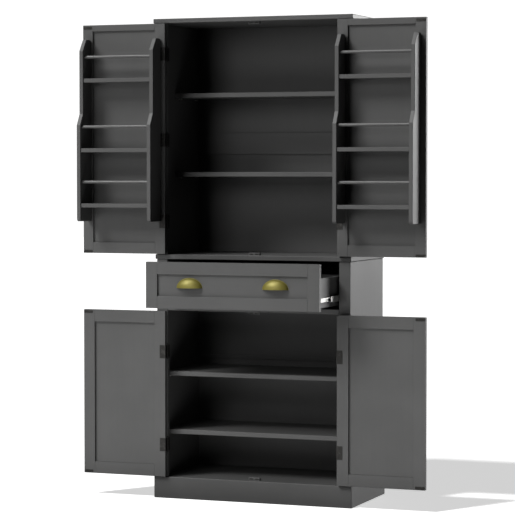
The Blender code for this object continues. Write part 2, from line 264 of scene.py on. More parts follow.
def smoothed(obj, angle):
    """Shade smooth over edges that turn less than an angle in degrees."""
    take(obj)
    bpy.ops.object.shade_smooth_by_angle(angle=math.radians(angle))
    return obj


def eased(obj, width, segments=2, angle=40):
    """Round an object's sharp edges and shade it smooth between them."""
    modified(obj, "BEVEL", width=width, segments=segments, limit_method="ANGLE",
             angle_limit=math.radians(angle))
    return smoothed(obj, 35)


def rounded(obj, test, width, segments):
    """Bevel the edges that pass a test."""
    def bevel():
        choose(obj, "EDGE", test)
        bpy.ops.mesh.bevel(offset=width, segments=segments)
    return shaped(obj, bevel)


def bordered(obj, test, width, depth=0):
    """Inset the faces that pass a test, which keeps a narrow border round them."""
    def inset():
        choose(obj, "FACE", test)
        bpy.ops.mesh.inset(thickness=width, depth=depth)
    return shaped(obj, inset)


def copied(obj, name, shift=(0, 0, 0), mirror=False):
    """A copy with its own mesh, mirrored across the cabinet's middle if asked, then shifted."""
    take(obj)
    bpy.ops.object.duplicate(linked=False)
    twin = bpy.context.object
    twin.name = twin.data.name = name
    twin.scale = (-1 if mirror else 1, 1, 1)
    twin.location = shift
    settle(twin)
    return outward(twin) if mirror else twin


def joined(obj, *others):
    """Join other objects into one."""
    take(obj)
    for other in others:
        other.select_set(True)
    bpy.ops.object.join()
    return obj


def scrapped(*objects):
    """Remove patterns that only served to be copied."""
    deselect()
    for obj in objects:
        obj.select_set(True)
    bpy.ops.object.delete()


def fitted(obj, finish, body, *nodes):
    """Give a finished piece its finish and body, and hide the CAD nodes it stands for.

    Weighted normals keep the wide faces flat up to their rounded edges.
    """
    modified(obj, "WEIGHTED_NORMAL", keep_sharp=True)
    obj.data.materials.clear()
    obj.data.materials.append(bpy.data.materials[finish])
    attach(obj, body)
    if nodes:
        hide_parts(*nodes)
    return obj


def turned(name, base, axis, profile, vertices=32):
    """A round piece drawn out of a disc, ring by ring, from (radius, distance along the axis) pairs."""
    base, axis = Vector(base), Vector(axis)
    obj = disc(name, base + axis * profile[0][1], profile[0][0], axis, vertices)
    radial = Vector(1 if abs(a) < 0.5 else 0 for a in axis)

    def rings():
        bpy.ops.mesh.select_mode(type="FACE")
        bpy.ops.mesh.select_all(action="SELECT")
        for (radius, reach), (next_radius, next_reach) in zip(profile, profile[1:]):
            draw_out(axis * (next_reach - reach))
            ratio = next_radius / radius
            widen([ratio if r else 1 for r in radial], base + axis * next_reach)
    shaped(obj, rings)
    return outward(obj)


def screw_head(name, centre, axis, radius):
    """A countersunk head with a cross recess, looking along an axis."""
    centre, axis = Vector(centre), Vector(axis)
    head = turned(name, centre, axis, [(radius * 0.9, -0.0004), (radius, 0.0), (radius * 0.86, 0.00022)], 20)
    across = [a for a in (X, Y, Z) if abs(a.dot(axis)) < 0.5]
    arm, tip = radius * 0.15, radius * 0.55

    def recess():
        for direction in across:
            for reach in (-tip, -arm, arm, tip):
                cut(centre + direction * reach, direction)

        def in_cross(place, normal):
            offset = place - centre
            u, v = (abs(offset.dot(d)) for d in across)
            return normal.dot(axis) > 0.9 and min(u, v) < arm and max(u, v) < tip
        choose(head, "FACE", in_cross)
        draw_out(axis * -0.0005)
    return shaped(head, recess)


# ---------------------------------------------------------------- finishes

class Wire:
    """A node's output. Arithmetic on it adds Math nodes."""

    def __init__(self, nodes, socket):
        self.nodes, self.socket = nodes, socket

    def sum_of(self, operation, *values):
        return self.nodes.add("ShaderNodeMath", {"operation": operation}, dict(enumerate(values)))

    def __add__(self, other):
        return self.sum_of("ADD", self, other)

    def __radd__(self, other):
        return self.sum_of("ADD", other, self)

    def __sub__(self, other):
        return self.sum_of("SUBTRACT", self, other)

    def __rsub__(self, other):
        return self.sum_of("SUBTRACT", other, self)

    def __mul__(self, other):
        return self.sum_of("MULTIPLY", self, other)

    def __rmul__(self, other):
        return self.sum_of("MULTIPLY", other, self)


class Finish:
    """A material under construction, with its pattern in Object coordinates."""

    def __init__(self, name, **constants):
        self.material = bpy.data.materials.new(name)
        self.material.use_nodes = True
        self.nodes = self.material.node_tree.nodes
        self.shader = self.nodes["Principled BSDF"]
        for socket, value in constants.items():
            self.shader.inputs[socket.replace("_", " ")].default_value = value
        self.place = self.add("ShaderNodeTexCoord", {}, {}, "Object")

    def add(self, kind, settings, inputs, output=0):
        """Add a node: its settings, then the values or wires of its inputs."""
        node = self.nodes.new(kind)
        for name, value in settings.items():
            setattr(node, name, value)
        for key, value in inputs.items():
            if isinstance(value, Wire):
                self.material.node_tree.links.new(value.socket, node.inputs[key])
            else:
                node.inputs[key].default_value = value
        return Wire(self, node.outputs[output])

    def noise(self, stretch, scale, detail=3.0, roughness=0.5):
        """Noise, drawn out along an axis whose factor is below one."""
        place = self.add("ShaderNodeMapping", {}, {"Vector": self.place, "Scale": stretch})
        return self.add("ShaderNodeTexNoise", {},
                        {"Vector": place, "Scale": scale, "Detail": detail, "Roughness": roughness})

    def ramp(self, value, low, high):
        """Spread a value between two limits over 0 to 1."""
        return self.add("ShaderNodeMapRange", {"interpolation_type": "SMOOTHSTEP"},
                        {"Value": value, "From Min": low, "From Max": high})

    def mix(self, factor, first, second):
        return self.add("ShaderNodeMix", {"data_type": "RGBA"}, {0: factor, 6: first, 7: second}, 2)

    def surface(self, **wires):
        """Link wires to the shader's sockets."""
        for socket, wire in wires.items():
            self.material.node_tree.links.new(wire.socket, self.shader.inputs[socket.replace("_", " ")])

    def bump(self, height, distance, strength=1.0):
        self.surface(Normal=self.add("ShaderNodeBump", {}, {"Height": height, "Distance": distance,
                                                             "Strength": strength}))


EVEN = (1.0, 1.0, 1.0)


def drawn_along(axis, factor):
    """Noise factors for a grain that runs along one axis (0, 1 or 2)."""
    return [factor if i == axis else 1.0 for i in range(3)]


def shaded(colour, red, green, blue):
    """A colour times three factors."""
    return tuple(min(1, c * f) for c, f in zip(colour, (red, green, blue))) + (1,)


def charcoal_paint(name, along, colours, roughness=0.40):
    """Satin charcoal paint, brushed along one axis (0, 1 or 2)."""
    finish = Finish(name, IOR=1.48)
    stretch = drawn_along(along, 0.035)
    strokes = finish.noise(stretch, 420, 4.0, 0.6)
    bands = finish.noise(stretch, 70, 2.0)
    peel = finish.noise(EVEN, 650, 2.0)
    clouds = finish.noise(EVEN, 4.5, 4.0, 0.6)
    specks = finish.ramp(finish.noise(EVEN, 160, 5.0, 0.7), 0.66, 0.78)
    tone = clouds * 0.75 + bands * 0.15 + strokes * 0.10
    thin = finish.ramp(tone, 0.36, 0.66)
    colour = finish.mix(thin, colours.paint, colours.paint_pale)
    colour = finish.mix(specks * 0.20, colour, shaded(colours.paint_pale, 1.4, 1.4, 1.4))
    finish.surface(Base_Color=colour, Roughness=roughness + clouds * 0.12 + strokes * 0.10 - specks * 0.06)
    finish.bump(strokes * 0.35 + peel * 0.5, 0.00010, 0.35)


def zinc_steel(name, along, colours):
    """Dull zinc plating, drawn along one axis."""
    finish = Finish(name, Metallic=0.75)
    drawn = finish.noise(drawn_along(along, 0.02), 900)
    spangle = finish.noise(EVEN, 38, 4.0, 0.6)
    tarnish = finish.ramp(spangle, 0.35, 0.75)
    dull = shaded(colours.zinc, 0.72, 0.70, 0.60)
    finish.surface(Base_Color=finish.mix(tarnish, colours.zinc, dull),
                   Roughness=0.56 + drawn * 0.12 + tarnish * 0.08)
    finish.bump(drawn, 0.00006, 0.4)


def dark_steel(name, colours):
    """Blackened steel, rubbed a little brighter in patches."""
    finish = Finish(name, Metallic=0.9)
    patches = finish.ramp(finish.noise(EVEN, 90, 5.0, 0.65), 0.48, 0.74)
    grain = finish.noise(EVEN, 1400, 2.0)
    rubbed = shaded(colours.dark_steel, 2.1, 2.1, 2.1)
    finish.surface(Base_Color=finish.mix(patches, colours.dark_steel, rubbed),
                   Roughness=0.50 - patches * 0.10 + grain * 0.10)
    finish.bump(grain, 0.00005, 0.5)


def antique_brass(name, colours):
    """Lacquered brass with a brown film in random patches."""
    finish = Finish(name, Metallic=0.45, Coat_Weight=0.10, Coat_Roughness=0.3)
    film = finish.ramp(finish.noise(EVEN, 55, 5.0, 0.62), 0.45, 0.78)
    hair = finish.noise((0.05, 1, 1), 1100, 2.0)
    finish.surface(Base_Color=finish.mix(film * 0.55, colours.brass, colours.patina),
                   Roughness=0.44 + film * 0.12 + hair * 0.08)
    finish.bump(hair, 0.00005, 0.35)


def moulded_plastic(name, colours):
    """Dark plastic with a fine moulded grain."""
    finish = Finish(name)
    grain = finish.noise(EVEN, 1800, 3.0)
    cloud = finish.noise(EVEN, 60, 3.0)
    pale = shaded(colours.plastic, 1.6, 1.6, 1.6)
    finish.surface(Base_Color=finish.mix(cloud, colours.plastic, pale), Roughness=0.42 + grain * 0.16)
    finish.bump(grain, 0.00010, 0.6)


def pale_floor(name):
    """Matt, nearly white floor."""
    finish = Finish(name)
    cloud = finish.noise(EVEN, 0.8, 2.0)
    finish.surface(Base_Color=finish.mix(cloud, (0.86, 0.86, 0.86, 1), (0.90, 0.90, 0.90, 1)),
                   Roughness=0.75 + cloud * 0.1)


class PANTRY_OT_finishes(bpy.types.Operator):
    """Mix the paint, metal and plastic finishes"""
    bl_idname = "pantry.finishes"
    bl_label = "Finishes"

    def execute(self, context):
        colours = context.scene.pantry_finishes
        for along, axis in enumerate("xyz"):
            charcoal_paint(f"charcoal_paint_{axis}", along, colours)
        charcoal_paint("charcoal_paint_turned", 0, colours, 0.22)
        zinc_steel("zinc_steel", 1, colours)
        dark_steel("blackened_steel", colours)
        antique_brass("antique_brass", colours)
        moulded_plastic("catch_plastic", colours)
        pale_floor("pale_floor")
        return {"FINISHED"}


# ---------------------------------------------------------------- carcass

class PANTRY_OT_boards(bpy.types.Operator):
    """Paint the CAD boards and add the battens, pins and nails of the carcass"""
    bl_idname = "pantry.boards"
    bl_label = "Carcass Boards"

    def execute(self, context):
        upright = [f"{level}_{side}_side" for level, side in DOORS]
        upright += ["upper_back_panel", "lower_back_panel"]
        upright += [f"{side}_rack_{place}_side" for side in SIDES for place in ("hinge", "free")]
        level = ["top_panel", "middle_panel", "base", "drawer_deck"]
        level += [f"{storey}_shelf_{n}" for storey in HINGES for n in (1, 2)]
        level += [f"{side}_rack_shelf_{n}" for side in SIDES for n in (1, 2, 3)]
        for axis, names in (("z", upright), ("x", level)):
            for name in names:
                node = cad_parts[name]
                for slot in node.material_slots:
                    slot.material = bpy.data.materials[f"charcoal_paint_{axis}"]
        self.back_battens()
        self.shelf_pins()
        self.back_nails()
        return {"FINISHED"}

    def back_battens(self):
        """A flat rail across the upper back and a narrow joining strip across the lower one."""
        for name, node, low_z, high_z, thick in (
                ("upper_back_rail", "upper_back_panel", 1.3165, 1.4017, 0.006),
                ("lower_back_strip", "lower_back_panel", 0.5091, 0.5228, 0.003)):
            low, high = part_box(node)
            batten = block(name, (low.x + 0.0002, low.y - thick, low_z), (high.x - 0.0002, low.y - 0.0001, high_z))

            def shoulder():
                choose(batten, "FACE", lambda c, n: n.y < -0.9)
                bpy.ops.mesh.inset(thickness=0.0015, depth=0)
                draw_out((0, -0.0005, 0))
            shaped(batten, shoulder)
            eased(batten, 0.0008)
            fitted(batten, "charcoal_paint_x", "carcass")

    def shelf_pins(self):
        """Four bent steel pins under each shelf."""
        pattern = turned("shelf_pin", (0, 0, 0), X, [(0.0018, 0.0), (0.0025, 0.0006), (0.0025, 0.0080)], 16)

        def tab():
            choose(pattern, "FACE", lambda c, n: n.x > 0.9)
            bpy.ops.mesh.inset(thickness=0.0004, depth=0)
            draw_out((0.0012, 0, 0))
            widen((1, 2.4, 1.6), (0.0092, 0, 0))
            draw_out((0.0045, 0, 0))
        shaped(pattern, tab)
        eased(outward(pattern), 0.0002, 1)
        side, inset, drop = 0.3749, 0.040, 0.0034
        for level in HINGES:
            for number in (1, 2):
                low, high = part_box(f"{level}_shelf_{number}")
                pins = [copied(pattern, "pin", (sign * side, y, low.z - drop), mirror=sign > 0)
                        for sign in SIDES.values() for y in (low.y + inset, high.y - inset)]
                pins[0].name = f"{level}_shelf_{number}_pins"
                fitted(joined(*pins), "zinc_steel", "carcass")
        scrapped(pattern)

    def back_nails(self):
        """Small nails round the rear of each back panel."""
        pattern = turned("nail", (0, 0, 0), Y, [(0.0022, 0.0), (0.0022, 0.0005), (0.0013, 0.0009)], 12)
        edge, end, pitch, columns = 0.012, 0.020, 0.13, 6
        for level in HINGES:
            low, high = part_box(f"{level}_back_panel")
            rear = high.y + 0.00002
            rows = max(2, round((high.z - low.z) / pitch))
            places = [(x, low.z + end + (high.z - low.z - 2 * end) * i / rows)
                      for x in (low.x + edge, high.x - edge) for i in range(rows + 1)]
            places += [(low.x + edge + (high.x - low.x - 2 * edge) * i / columns, z)
                       for z in (low.z + edge, high.z - edge) for i in range(1, columns)]
            nails = [copied(pattern, "nail", (x, rear, z)) for x, z in places]
            nails[0].name = f"{level}_back_nails"
            fitted(joined(*nails), "blackened_steel", "carcass")
        scrapped(pattern)


# ---------------------------------------------------------------- doors and drawer front

def grooved(obj, across, low, high, axis, direction, depth):
    """Cut a groove between two planes across one axis, into the face that looks along another."""
    def groove():
        plane = (X, Y, Z)[across]
        for place in (low, high):
            cut(plane * place, plane)
        choose(obj, "FACE", lambda c, n: n[axis] * direction > 0.9 and low < c[across] < high)
        shift = [0, 0, 0]
        shift[axis] = -direction * depth
        draw_out(shift)
    return shaped(obj, groove)


def framed_panel(label, low, high, stiles, rails, panel, sizes):
    """Two stiles, two rails and a panel held in their grooves, as five pieces.

    stiles is (left width, right width), rails is (bottom, top), panel is its (front, rear) Y.
    """
    left, right = low.x + stiles[0], high.x - stiles[1]
    bottom, top = low.z + rails[0], high.z - rails[1]
    hair = 0.00005
    slack = 0.0004
    top_groove = min(sizes.groove, rails[1] / 3)
    pieces = []
    boards = (
        ("left_stile", low, (left - hair, high.y, high.z), 0, 1, sizes.groove),
        ("right_stile", (right + hair, low.y, low.z), high, 0, -1, sizes.groove),
        ("bottom_rail", (left, low.y, low.z), (right, high.y, bottom), 2, 1, sizes.groove),
        ("top_rail", (left, low.y, top), (right, high.y, high.z), 2, -1, top_groove))
    for name, near, far, axis, direction, depth in boards:
        board = block(f"{label}_{name}", near, far)
        grooved(board, 1, panel[0] - 0.0001, panel[1] + 0.0001, axis, direction, depth)
        eased(board, sizes.joint, 2)
        pieces.append((board, "z" if axis == 0 else "x"))
    reach = sizes.groove - slack
    middle = block(f"{label}_panel", (left - reach, panel[0], bottom - reach),
                   (right + reach, panel[1], top + top_groove - slack))
    eased(bordered(middle, lambda c, n: abs(n.y) > 0.9, 0.003), 0.0004, 1)
    pieces.append((middle, "z"))
    return pieces


class PANTRY_OT_doors(bpy.types.Operator):
    """Build the four framed doors and the strike plates of their catches"""
    bl_idname = "pantry.doors"
    bl_label = "Doors"

    # stile at the hinge, free stile, bottom rail, top rail, heights of the two strike plates
    FRAMES = {"upper": (0.0410, 0.0408, 0.042, 0.024, (0.9425, 1.8004)),
              "lower": (0.0450, 0.0455, 0.045, 0.046, (0.0920, 0.7097))}

    def execute(self, context):
        sizes = context.scene.pantry_sizes
        for level, side in DOORS:
            hinge_stile, free_stile, bottom, top, strikes = self.FRAMES[level]
            low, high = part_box(f"{level}_{side}_door")
            stiles = (hinge_stile, free_stile) if side == "right" else (free_stile, hinge_stile)
            body = f"{level}_{side}_door"
            panel = (low.y + 0.008, high.y - 0.005)
            for piece, axis in framed_panel(body, low, high, stiles, (bottom, top), panel, sizes):
                fitted(piece, f"charcoal_paint_{axis}", body, body)
            outer = high.x if side == "right" else low.x
            for place, z in zip(("bottom", "top"), strikes):
                self.strike(f"{body}_{place}_strike", outer - SIDES[side] * 0.0195, low.y, z, body, sizes)
        return {"FINISHED"}

    def strike(self, name, x, y, z, body, sizes):
        """A steel plate that meets the catch, held by two screws."""
        plate = block(name, (x - 0.0185, y - 0.0010, z - 0.0052), (x + 0.0185, y - 0.0001, z + 0.0052))
        rounded(plate, lambda c, d: abs(d.y) > 0.9, 0.0025, 4)
        bordered(plate, lambda c, n: n.y < -0.9, 0.0004, 0.00012)
        screws = [screw_head("screw", (x + s * 0.0130, y - 0.00095, z), -Y, sizes.screw * 0.8) for s in (-1, 1)]
        fitted(joined(plate, *screws), "blackened_steel", body)


class PANTRY_OT_drawer(bpy.types.Operator):
    """Build the drawer front and the box behind it"""
    bl_idname = "pantry.drawer"
    bl_label = "Drawer"

    def execute(self, context):
        sizes = context.scene.pantry_sizes
        low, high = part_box("drawer_front")
        panel = (low.y + 0.008, high.y - 0.004)
        for piece, _ in framed_panel("drawer", low, high, (0.0455, 0.0455), (0.046, 0.046), panel, sizes):
            fitted(piece, "charcoal_paint_x", "drawer", "drawer_front")
        self.box(sizes)
        return {"FINISHED"}

    def box(self, sizes):
        """Side boards that run the whole depth, the front and back boards between them, and a floor in their
        grooves.
        """
        low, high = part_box("drawer_box")
        half, wall = 0.333, 0.012
        floor = (low.z + 0.006, low.z + 0.012)
        rear = high.y
        boards = [("drawer_box_left", (-half, low.y, low.z), (-half + wall, rear, high.z), 0, 1),
                  ("drawer_box_right", (half - wall, low.y, low.z), (half, rear, high.z), 0, -1),
                  ("drawer_box_front", (-half + wall, low.y, low.z), (half - wall, low.y + wall, high.z), 1, 1),
                  ("drawer_box_back", (-half + wall, rear - wall, low.z), (half - wall, rear, high.z), 1, -1)]
        for name, near, far, axis, direction in boards:
            board = block(name, near, far)
            grooved(board, 2, *floor, axis, direction, 0.005)
            eased(board, 0.0007, 2)
            fitted(board, "charcoal_paint_x" if axis else "charcoal_paint_y", "drawer", "drawer_box")
        inner = half - wall + 0.0045
        bottom = block("drawer_box_floor", (-inner, low.y + wall - 0.0045, floor[0] + 0.0002),
                       (inner, rear - wall + 0.0045, floor[1] - 0.0002))
        eased(bordered(bottom, lambda c, n: abs(n.z) > 0.9, 0.004), 0.0004, 1)
        fitted(bottom, "charcoal_paint_x", "drawer", "drawer_box")
        screws = [screw_head("screw", (x, low.y + wall + 0.00005, z), Y, sizes.screw * 1.3)
                  for x in (-0.25, 0.25) for z in (low.z + 0.030, high.z - 0.022)]
        screws[0].name = "drawer_front_screws"
        fitted(joined(*screws), "zinc_steel", "drawer")


# ---------------------------------------------------------------- fittings

class PANTRY_OT_hinges(bpy.types.Operator):
    """Hang the doors on butt hinges with five knuckles, each half on its own body"""
    bl_idname = "pantry.hinges"
    bl_label = "Hinges"

    KNUCKLES = 5
    GAP = 0.00012       # between two knuckles
    HALF = 0.025        # half of a hinge's height
    PIN = (0.3445, -0.0035, 0)
    JAMB = 0.3459       # inner edge of the front stile
    SEAT = -0.0253      # inner face of the door
    HEEL = -0.0070      # edge of the door leaf next to the pin

    def execute(self, context):
        sizes = context.scene.pantry_sizes
        door_half = self.door_half(sizes)
        frame_half = self.frame_half(sizes)
        for level, side in DOORS:
            body = f"{level}_{side}_door"
            for number in range(1, HINGES[level] + 1):
                node = f"{level}_{side}_hinge_{number}"
                low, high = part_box(node)
                shift = (0, 0, (low.z + high.z) / 2)
                mirror = side == "left"
                leaf = copied(door_half, f"{node}_door_leaf", shift, mirror)
                fitted(leaf, "blackened_steel", body, node)
                leaf = copied(frame_half, f"{node}_frame_leaf", shift, mirror)
                fitted(leaf, "blackened_steel", "carcass")
        scrapped(door_half, frame_half)
        return {"FINISHED"}

    def spans(self, own):
        """Heights of the knuckles that belong to one half."""
        step = 2 * self.HALF / self.KNUCKLES
        return [(i * step - self.HALF + self.GAP, (i + 1) * step - self.HALF - self.GAP)
                for i in range(self.KNUCKLES) if i % 2 == own]

    def knuckles(self, spans, sizes, tips):
        """The rolled barrels of one half, with the pin's ball tips where that half has them."""
        ease = 0.0004
        pieces = []
        for low, high in spans:
            profile = [(sizes.pin - ease, low), (sizes.pin, low + ease), (sizes.pin, high - ease),
                       (sizes.pin - ease, high)]
            pieces.append(turned("knuckle", self.PIN, Z, profile, 24))
        if tips:
            profile = [(0.0014, 0.0248), (0.0014, 0.0257), (0.0026, 0.0264), (0.0030, 0.0276),
                       (0.0026, 0.0288), (0.0016, 0.0296), (0.0005, 0.0299)]
            pieces += [turned("tip", self.PIN, Z * sign, profile, 20) for sign in (-1, 1)]
        return pieces

    def neck(self, leaf, spans, edge_y, reach):
        """Draw the leaf's own knuckles out of its edge, towards the pin."""
        def grow():
            for span in spans:
                for z in span:
                    if abs(z) < self.HALF - 0.0001:
                        cut((0, 0, z), Z)
            choose(leaf, "FACE", lambda c, n: abs(c.y - edge_y) < 0.00001
                   and any(low < c.z < high for low, high in spans))
            draw_out((0, reach, 0))
        return shaped(leaf, grow)

    def door_half(self, sizes):
        """Leaf along the door's edge, turned onto its inner face."""
        near, far = 0.3457 - sizes.leaf, 0.3457
        leaf = block("door_leaf", (near, self.SEAT - sizes.leaf, -self.HALF), (far, self.HEEL, self.HALF))
        spans = self.spans(1)
        self.neck(leaf, spans, self.HEEL, 0.0035)

        def turn_in():
            cut((0, self.SEAT, 0), Y)
            choose(leaf, "FACE", lambda c, n: n.x > 0.9 and c.y < self.SEAT)
            draw_out((0.0223, 0, 0))
        shaped(leaf, turn_in)
        rounded(leaf, lambda c, d: abs(d.y) > 0.9 and c.x > 0.3675, 0.0015, 3)
        eased(leaf, 0.00025, 1)
        screws = [screw_head("screw", (x, self.SEAT - sizes.leaf + 0.00005, z), -Y, sizes.screw)
                  for x, z in ((0.3550, -0.017), (0.3570, 0.0), (0.3550, 0.017))]
        return joined(leaf, *self.knuckles(spans, sizes, False), *screws)

    def frame_half(self, sizes):
        """Flat leaf on the inner edge of the front stile."""
        heel = -0.0002
        leaf = block("frame_leaf", (self.JAMB - sizes.leaf, heel, -self.HALF), (self.JAMB, 0.0172, self.HALF))
        spans = self.spans(0)
        self.neck(leaf, spans, heel, -0.0033)
        eased(leaf, 0.00025, 1)
        screws = [screw_head("screw", (self.JAMB - sizes.leaf + 0.00005, y, z), -X, sizes.screw)
                  for y, z in ((0.0078, -0.017), (0.0112, 0.0), (0.0078, 0.017))]
        return joined(leaf, *self.knuckles(spans, sizes, True), *screws)


class PANTRY_OT_pulls(bpy.types.Operator):
    """Fit the two cup pulls on the drawer and a knob on each door"""
    bl_idname = "pantry.pulls"
    bl_label = "Pulls and Knobs"

    def execute(self, context):
        sizes = context.scene.pantry_sizes
        low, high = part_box("left_cup_pull")
        pull = self.cup(low, high, sizes)
        middle = (low.x + high.x) / 2
        other_low, other_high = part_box("right_cup_pull")
        twin = copied(pull, "right_cup_pull_shell", ((other_low.x + other_high.x) / 2 - middle, 0, 0))
        fitted(pull, "antique_brass", "drawer", "left_cup_pull")
        fitted(twin, "antique_brass", "drawer", "right_cup_pull")
        self.knobs()
        return {"FINISHED"}

    def cup(self, low, high, sizes):
        """Half dome with a flat flange against the drawer and its mouth underneath."""
        rim = 0.0015
        centre = Vector(((low.x + high.x) / 2, high.y, low.z))
        half, depth, height = (high.x - low.x) / 2 - rim, high.y - low.y, high.z - low.z - rim
        deselect()
        bpy.ops.mesh.primitive_uv_sphere_add(segments=48, ring_count=24, radius=1)
        cup = bpy.context.object
        cup.name = cup.data.name = "left_cup_pull_shell"

        def halve():
            bpy.ops.mesh.select_all(action="SELECT")
            bpy.ops.mesh.bisect(plane_co=(0, 0, 0), plane_no=(0, 0, 1), clear_inner=True)
            bpy.ops.mesh.select_all(action="SELECT")
            bpy.ops.mesh.bisect(plane_co=(0, 0, 0), plane_no=(0, 1, 0), clear_outer=True)
        shaped(cup, halve)
        cup.scale = (half, depth, height)
        cup.location = centre
        settle(cup)

        def flange():
            choose(cup, "EDGE", lambda c, d: abs(c.y - centre.y) < 0.00002)
            bpy.ops.mesh.extrude_region_move(TRANSFORM_OT_translate={"value": (0, 0, 0)})
            widen(((half + rim) / half, 1, (height + rim) / height), centre)
        shaped(cup, flange)
        modified(cup, "SOLIDIFY", thickness=sizes.pull_wall, offset=-1)
        return eased(cup, 0.0005, 2, 50)

    def knobs(self):
        """Round knobs on a flared base, on the doors' outer faces."""
        profile = [(0.0085, 0.0), (0.0088, 0.0010), (0.0080, 0.0026), (0.0062, 0.0046), (0.0054, 0.0070),
                   (0.0054, 0.0110), (0.0072, 0.0140), (0.0110, 0.0168), (0.0134, 0.0196), (0.0139, 0.0212),
                   (0.0132, 0.0234), (0.0112, 0.0251), (0.0098, 0.0256), (0.0094, 0.0252), (0.0060, 0.0262),
                   (0.0025, 0.0268)]
        for level, side in DOORS:
            node = f"{level}_{side}_knob"
            low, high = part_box(node)
            base = ((low.x + high.x) / 2, low.y, (low.z + high.z) / 2)
            knob = smoothed(turned(f"{node}_turned", base, Y, profile, 40), 50)
            fitted(knob, "antique_brass", f"{level}_{side}_door", node)


class PANTRY_OT_slides(bpy.types.Operator):
    """Fit the ball-bearing slides: outer members on battens, middle members, and members on the drawer"""
    bl_idname = "pantry.slides"
    bl_label = "Slides"

    HEIGHT = 0.780      # of the slides' middle line
    LENGTH = 0.350
    # each channel's outer face, the tip of its lips, and half of its height
    CHANNELS = {"outer": (0.3460, 0.3385, 0.0140), "middle": (0.3442, 0.3367, 0.0110)}
    INNER = (0.3332, 0.3403, 0.0080, 0.0044)    # both faces, half height and depth of the inner member

    def execute(self, context):
        sizes = context.scene.pantry_sizes
        for side, sign in SIDES.items():
            rail, middle_start, box = (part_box(node)[0].y for node in
                                       (f"{side}_slide_rail", f"{side}_slide_middle", "drawer_box"))
            batten = self.batten(rail)
            outer = self.channel("outer", rail, sizes)
            middle = self.channel("middle", middle_start, sizes)
            inner = self.inner_member(box, sizes)
            cage = self.ball_cage(0.3428, middle_start - 0.0015)
            bumper = self.bumper(rail + self.LENGTH - 0.012)
            for piece, name, finish, body, nodes in (
                    (batten, "slide_batten", "charcoal_paint_y", "carcass", [f"{side}_slide_rail"]),
                    (outer, "slide_outer_member", "zinc_steel", "carcass", [f"{side}_slide_rail"]),
                    (middle, "slide_middle_member", "zinc_steel", "slide_members", [f"{side}_slide_middle"]),
                    (inner, "slide_inner_member", "zinc_steel", "drawer", ["drawer_box"]),
                    (cage, "slide_ball_cage", "blackened_steel", "slide_members", []),
                    (bumper, "slide_bumper", "catch_plastic", "carcass", [])):
                made = copied(piece, f"{side}_{name}", mirror=sign < 0)
                scrapped(piece)
                fitted(made, finish, body, *nodes)
        return {"FINISHED"}

    def batten(self, start):
        """Wooden spacer between the cabinet's side and the outer member."""
        batten = block("batten", (0.3460, start, self.HEIGHT - 0.020),
                       (0.3747, start + self.LENGTH, self.HEIGHT + 0.020))
        return eased(bordered(batten, lambda c, n: abs(n.y) > 0.9, 0.002), 0.0010, 2)

    def channel(self, name, start, sizes):
        """A C-shaped member whose lips curl round the balls, open towards the drawer."""
        web, lip, half = self.CHANNELS[name]
        z = self.HEIGHT
        sheet = sizes.sheet
        member = block(name, (web - sheet, start, z - half), (web, start + self.LENGTH, z + half))

        def curl():
            cut((0, 0, z + half - sheet), Z)
            cut((0, 0, z - half + sheet), Z)
            choose(member, "FACE", lambda c, n: n.x < -0.9 and abs(c.z - z) > half - sheet)
            draw_out((lip - web + sheet, 0, 0))
        shaped(member, curl)
        rounded(member, lambda c, d: abs(d.y) > 0.9 and abs(c.x - web) < 0.00001
                and abs(abs(c.z - z) - half) < 0.00001, sheet * 1.2, 4)
        outward(member)
        return eased(member, 0.0003, 1, 50)

    def inner_member(self, start, sizes):
        """Shallow channel on the drawer's side, held by three screws."""
        z, wall = self.HEIGHT, 0.0022
        near, far, half, depth = self.INNER
        member = block("inner", (near, start + 0.001, z - half), (far, start + self.LENGTH - 0.001, z + half))

        def hollow():
            cut((0, 0, z + half - wall), Z)
            cut((0, 0, z - half + wall), Z)
            choose(member, "FACE", lambda c, n: n.x > 0.9 and abs(c.z - z) < half - wall)
            bpy.ops.mesh.inset(thickness=0.0007, depth=0)
            draw_out((-depth, 0, 0))
        shaped(member, hollow)
        rounded(member, lambda c, d: abs(d.y) > 0.9 and abs(abs(c.z - z) - half) < 0.00001
                and c.x > far - 0.0003, 0.0015, 3)
        eased(member, 0.0003, 1, 50)
        screws = [screw_head("screw", (far - depth + 0.00005, start + y, z), X, sizes.screw)
                  for y in (0.035, 0.130, 0.300)]
        return joined(member, *screws)

    def ball_cage(self, x, start):
        """Strips with bearing balls above and below the inner member, behind a rounded nose."""
        z = self.HEIGHT
        strip_z, balls, pitch = 0.0091, 9, 0.0098
        pieces = []
        nose = block("nose", (x - 0.0052, start, z - 0.0088), (x, start + 0.014, z + 0.0088))
        rounded(nose, lambda c, d: abs(d.x) > 0.9 and c.y < start + 0.001, 0.0060, 6)
        pieces.append(eased(nose, 0.0003, 1, 50))
        for sign in (-1, 1):
            middle = z + sign * strip_z
            strip = block("strip", (x - 0.0044, start + 0.012, middle - 0.00025),
                          (x - 0.0012, start + 0.105, middle + 0.00025))
            pieces.append(bordered(strip, lambda c, n: abs(n.z) > 0.9, 0.0005))
            for i in range(balls):
                deselect()
                bpy.ops.mesh.primitive_ico_sphere_add(
                    subdivisions=2, radius=0.00085, location=(x - 0.0026, start + 0.022 + i * pitch, middle))
                ball = settle(bpy.context.object)
                bpy.ops.object.shade_smooth()
                pieces.append(ball)
        return joined(*pieces)

    def bumper(self, start):
        """Rubber stop at the rear of the outer member."""
        z = self.HEIGHT
        stop = block("bumper", (0.3445, start, z - 0.0100), (0.3447, start + 0.010, z + 0.0100))
        return eased(bordered(stop, lambda c, n: n.x < -0.9, 0.0008), 0.00004, 1)


